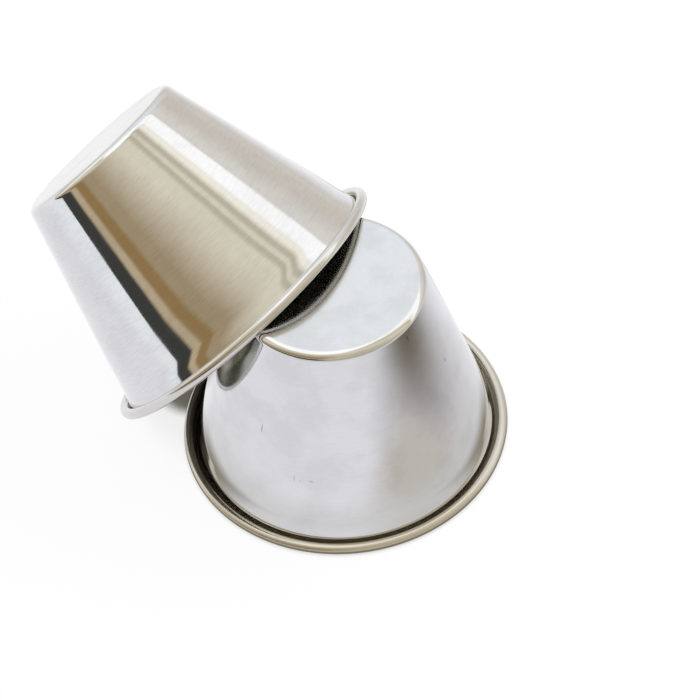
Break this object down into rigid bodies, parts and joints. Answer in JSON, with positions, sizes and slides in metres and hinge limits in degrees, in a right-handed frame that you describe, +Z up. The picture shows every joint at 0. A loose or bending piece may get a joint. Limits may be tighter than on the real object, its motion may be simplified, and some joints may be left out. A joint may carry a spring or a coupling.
{
  "type": "pair of palette cups",
  "caption": "Conical polished sheet-metal palette cup with a rolled rim, standing upside down, and its twin leaning over it; each holds a painter's oil or thinner.",
  "frame": {"origin": "centre of the standing cup's rim, on the surface that both rims rest on", "axes": "+Z up along the standing cup's axis, -X towards the leaning cup, XZ is the mirror plane"},
  "size_m": [0.0905, 0.06, 0.0606],
  "materials": {
    "standing_cup_steel": "polished, with fine brush lines round the wall",
    "leaning_cup_steel": "polished, with fine brush lines round the wall"
  },
  "bodies": {
    "standing_cup": {"standing_cup": "standing_cup_steel"},
    "leaning_cup": {"leaning_cup": "leaning_cup_steel"}
  },
  "joints": [
    {"name": "leaning_cup_lift", "type": "slide", "parent": "standing_cup", "child": "leaning_cup", "axis": [0, 0, 1], "range_m": [0, 0.08]}
  ]
}
